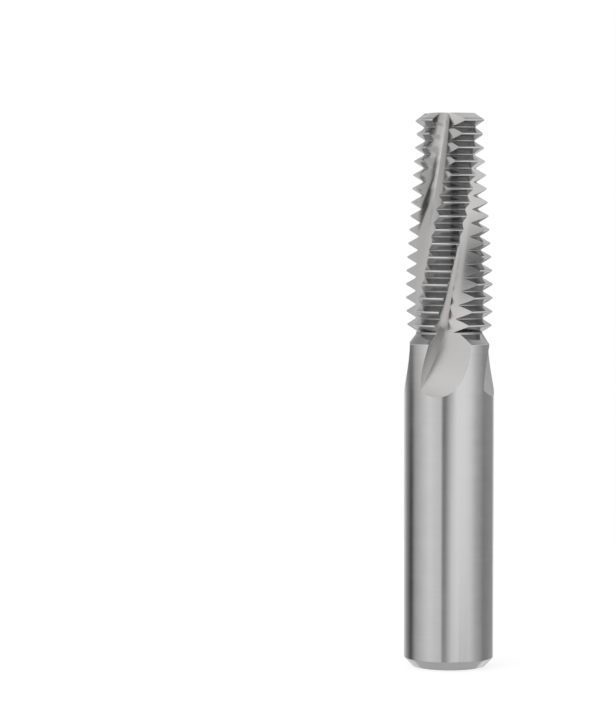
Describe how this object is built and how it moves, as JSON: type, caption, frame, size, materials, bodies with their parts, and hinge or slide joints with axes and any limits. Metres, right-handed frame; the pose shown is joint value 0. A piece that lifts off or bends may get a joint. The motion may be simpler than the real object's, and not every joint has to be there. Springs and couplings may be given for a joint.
{
  "type": "thread mill",
  "caption": "Solid carbide thread mill: plain round shank, tapered head of parallel thread rings cut by helical flutes that run out into the shank",
  "frame": {"origin": "middle of the flat face at the shank end, which the tool stands on", "axes": "+Z along the tool from the shank end to the cutting tip; -Y is the front, the side the picture shows; +X to the right of that view"},
  "size_m": [0.012, 0.012, 0.074],
  "materials": {
    "ground_carbide": "satin"
  },
  "bodies": {
    "root": {"thread_mill": "ground_carbide"}
  },
  "joints": []
}
